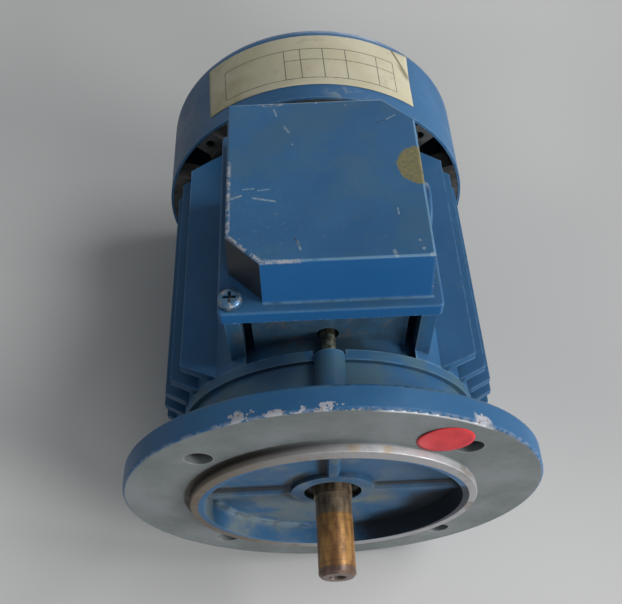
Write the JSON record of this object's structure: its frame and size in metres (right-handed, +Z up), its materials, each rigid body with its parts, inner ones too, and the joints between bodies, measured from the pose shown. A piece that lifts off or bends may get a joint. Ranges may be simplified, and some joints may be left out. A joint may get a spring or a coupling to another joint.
{
  "type": "three-phase induction motor",
  "caption": "Flange-mounted induction motor with a finned frame, terminal box on top, fan cowl at the rear and a keyed shaft end; turns electric power into rotation.",
  "frame": {"origin": "centre of the flange's mounting face, on the shaft axis", "axes": "-Y out of the shaft end, +Y to the fan cowl, +Z up through the terminal box, +X to the side with the cable entries"},
  "size_m": [0.16, 0.225, 0.18],
  "materials": {
    "blue_paint": "worn semi-gloss blue paint on cast aluminium",
    "bare_casting": "bare cast",
    "zinc_steel": "zinc plated",
    "label_film": "printed film, satin",
    "black_rubber": "matt",
    "block_plastic": "moulded, matt",
    "brass": "plain",
    "black_plastic": "moulded, matt",
    "lead_insulation": "flexible insulation, satin",
    "core_steel": "stacked sheet edges",
    "copper": "enamelled copper",
    "wedge_plastic": "matt",
    "spring_steel": "oiled",
    "bearing_steel": "ground and polished",
    "shaft_steel": "ground steel with old varnish"
  },
  "bodies": {
    "housing": {"flange_end_shield": "blue_paint", "stator_frame": "blue_paint", "rear_end_shield": "bare_casting", "fan_cowl": "blue_paint", "cowl_screws": "zinc_steel", "rating_label": "label_film", "tie_bolts": "zinc_steel", "terminal_cover": "blue_paint", "cover_gasket": "black_rubber", "cover_screws": "zinc_steel", "terminal_block": "block_plastic", "terminal_block_screws": "zinc_steel", "terminal_studs": "brass", "terminal_links": "brass", "terminal_washers": "brass", "terminal_nuts": "brass", "earth_screw": "brass", "entry_plug": "black_plastic", "winding_leads": "lead_insulation", "stator_core": "core_steel", "winding_phase_1": "copper", "winding_phase_2": "copper", "winding_phase_3": "copper", "slot_wedges": "wedge_plastic", "shaft_seal": "black_rubber", "bearing_circlip": "spring_steel", "wave_spring": "spring_steel", "front_bearing_outer_ring": "bearing_steel", "front_bearing_shields": "bearing_steel", "rear_bearing_outer_ring": "bearing_steel", "rear_bearing_shields": "bearing_steel"},
    "rotor": {"shaft": "shaft_steel", "rotor_core": "core_steel", "rotor_cage": "bare_casting", "cooling_fan": "black_plastic", "fan_circlip": "spring_steel", "rear_dust_ring": "black_rubber", "front_bearing_inner_ring": "bearing_steel", "rear_bearing_inner_ring": "bearing_steel"},
    "front_ball_row": {"front_bearing_balls": "bearing_steel", "front_bearing_cage": "bearing_steel"},
    "rear_ball_row": {"rear_bearing_balls": "bearing_steel", "rear_bearing_cage": "bearing_steel"}
  },
  "joints": [
    {"name": "rotor_spin", "type": "hinge", "parent": "housing", "child": "rotor", "pos_m": [0, 0, 0], "axis": [0, -1, 0], "continuous": true},
    {"name": "front_ball_row_turn", "type": "hinge", "parent": "housing", "child": "front_ball_row", "pos_m": [0, 0, 0], "axis": [0, -1, 0], "continuous": true},
    {"name": "rear_ball_row_turn", "type": "hinge", "parent": "housing", "child": "rear_ball_row", "pos_m": [0, 0, 0], "axis": [0, -1, 0], "continuous": true}
  ],
  "couplings": [
    {"joint": "front_ball_row_turn", "follows": "rotor_spin", "ratio": 0.381},
    {"joint": "rear_ball_row_turn", "follows": "rotor_spin", "ratio": 0.381}
  ]
}
